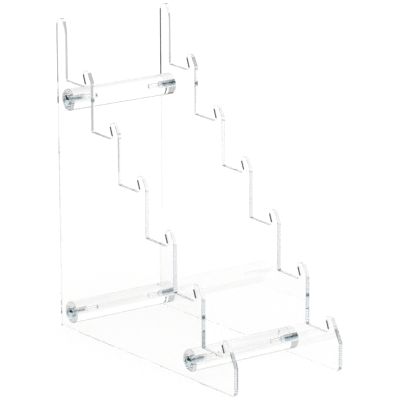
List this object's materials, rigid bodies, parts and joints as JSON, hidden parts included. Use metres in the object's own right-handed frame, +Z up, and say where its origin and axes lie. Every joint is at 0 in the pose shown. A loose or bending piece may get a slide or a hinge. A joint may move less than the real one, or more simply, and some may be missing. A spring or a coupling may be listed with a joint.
{
  "type": "eyeglasses display stand",
  "caption": "Clear acrylic eyewear display stand: two stepped side panels with lips that lean back hold eyeglass frames in rising tiers, tied by round cross rods and screws.",
  "frame": {"origin": "on the surface the stand rests on, under the middle of its bounding box", "axes": "+Z up; the tiers step down towards the front, which faces -Y; X runs across the stand, the left panel on -X as seen from the front"},
  "size_m": [0.1234, 0.262, 0.287],
  "materials": {
    "acrylic_sheet": "clear cast acrylic sheet, polished edges",
    "acrylic_rod": "clear acrylic rod, polished",
    "screw_steel": "bright zinc plated steel"
  },
  "bodies": {
    "root": {"left_panel": "acrylic_sheet", "right_panel": "acrylic_sheet", "top_rod": "acrylic_rod", "rear_rod": "acrylic_rod", "front_rod": "acrylic_rod", "top_left_screw": "screw_steel", "top_right_screw": "screw_steel", "rear_left_screw": "screw_steel", "rear_right_screw": "screw_steel", "front_left_screw": "screw_steel", "front_right_screw": "screw_steel"}
  },
  "joints": []
}
